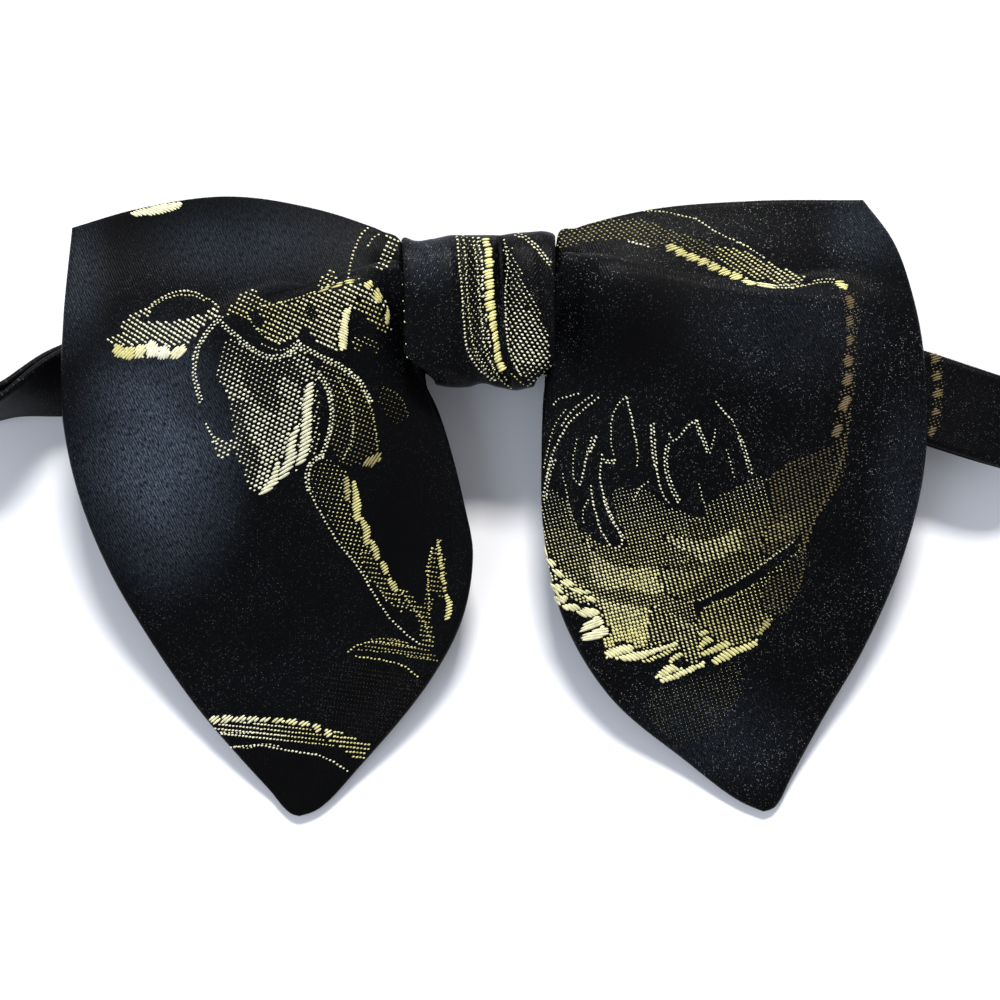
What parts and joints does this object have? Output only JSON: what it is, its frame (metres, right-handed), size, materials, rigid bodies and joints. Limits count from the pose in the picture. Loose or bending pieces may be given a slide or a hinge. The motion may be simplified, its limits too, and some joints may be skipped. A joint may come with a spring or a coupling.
{
  "type": "oversized bow tie",
  "caption": "Oversized black satin bow tie with pale gold brocade, drooping pointed wings, a wrapped knot and a flat neck strap.",
  "frame": {"origin": "bottom centre of the whole part, on the surface that it lies on", "axes": "+X to the right as the front of the bow is seen, along the strap; +Y towards the chin; +Z out of the front of the bow"},
  "size_m": [0.2192, 0.126, 0.0307],
  "materials": {
    "satin": "black satin with a woven pale gold pattern",
    "strap_satin": "black satin, pressed flat",
    "clasp_plastic": "smooth black"
  },
  "bodies": {
    "root": {"left_wing": "satin", "right_wing": "satin", "centre_knot": "satin", "neck_strap": "strap_satin", "strap_clasp": "clasp_plastic"}
  },
  "joints": []
}
